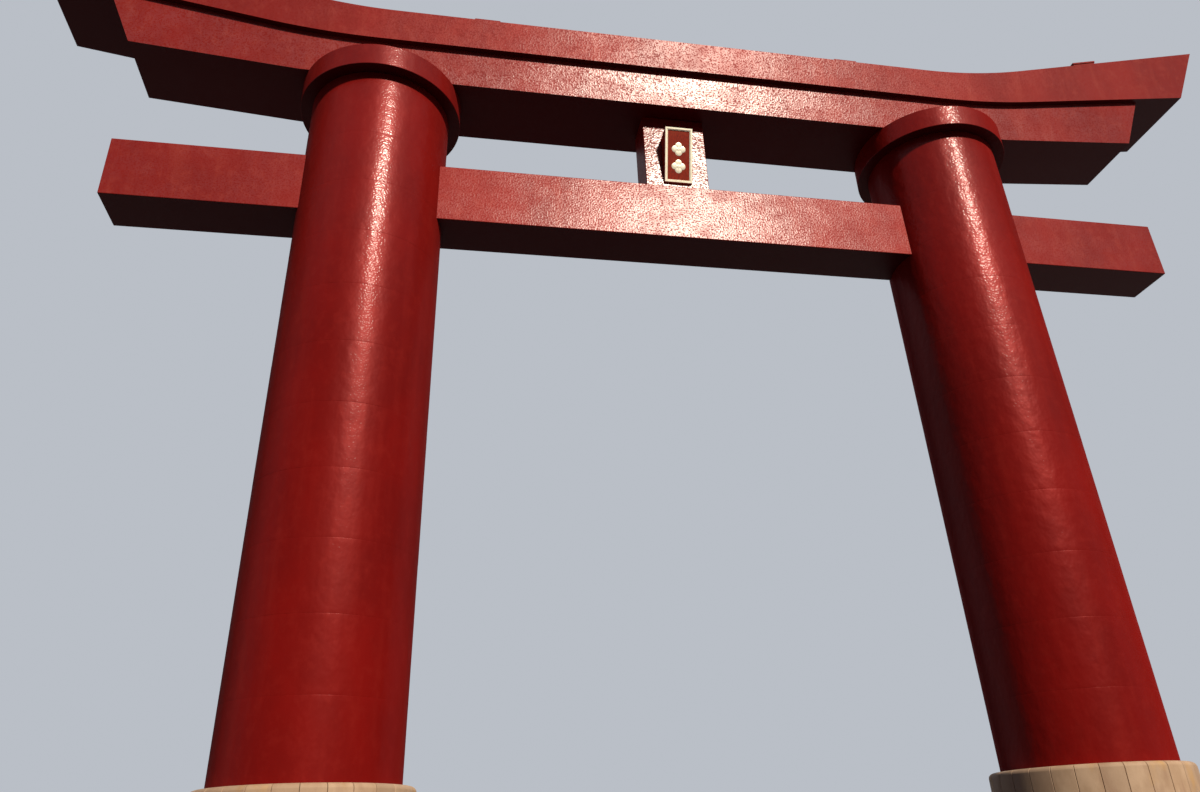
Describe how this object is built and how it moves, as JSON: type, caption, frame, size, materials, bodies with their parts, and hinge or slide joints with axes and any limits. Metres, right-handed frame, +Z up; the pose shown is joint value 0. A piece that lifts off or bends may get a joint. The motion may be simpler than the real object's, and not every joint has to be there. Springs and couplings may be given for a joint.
{
  "type": "scale model of a torii gate at 1:2",
  "caption": "Half-size model of a giant concrete torii: leaning round columns on stone plinths, a through tie beam, a strut with a plaque, and stacked lintels rising at the ends.",
  "frame": {"origin": "on the ground, midway between the columns and midway between front and back", "axes": "+Z up, X along the lintels, and the plaque faces -Y"},
  "size_m": [22.6, 2.6898, 15.37],
  "materials": {
    "painted_concrete": "glossy red ochre paint on cast concrete",
    "plinth_stone": "honed tan stone",
    "plaque_red": "satin red paint",
    "gilt": "pale gilding"
  },
  "bodies": {
    "root": {"left_plinth": "plinth_stone", "right_plinth": "plinth_stone", "left_column_lift_1": "painted_concrete", "left_column_lift_2": "painted_concrete", "left_column_lift_3": "painted_concrete", "left_column_lift_4": "painted_concrete", "left_column_lift_5": "painted_concrete", "left_column_lift_6": "painted_concrete", "left_column_lift_7": "painted_concrete", "left_column_lift_8": "painted_concrete", "left_column_head": "painted_concrete", "left_column_disc": "painted_concrete", "right_column_lift_1": "painted_concrete", "right_column_lift_2": "painted_concrete", "right_column_lift_3": "painted_concrete", "right_column_lift_4": "painted_concrete", "right_column_lift_5": "painted_concrete", "right_column_lift_6": "painted_concrete", "right_column_lift_7": "painted_concrete", "right_column_lift_8": "painted_concrete", "right_column_head": "painted_concrete", "right_column_disc": "painted_concrete", "tie_beam": "painted_concrete", "strut": "painted_concrete", "lower_lintel": "painted_concrete", "upper_lintel": "painted_concrete", "plaque_bracket_left": "plaque_red", "plaque_bracket_right": "plaque_red", "plaque_board": "plaque_red", "plaque_frame_bottom": "gilt", "plaque_frame_left": "gilt", "plaque_frame_right": "gilt", "plaque_frame_top": "gilt", "plaque_flower_lower": "gilt", "plaque_flower_upper": "gilt", "roof_hatch_outer_left": "painted_concrete", "roof_hatch_inner_left": "painted_concrete", "roof_hatch_inner_right": "painted_concrete", "roof_hatch_outer_right": "painted_concrete"}
  },
  "joints": []
}
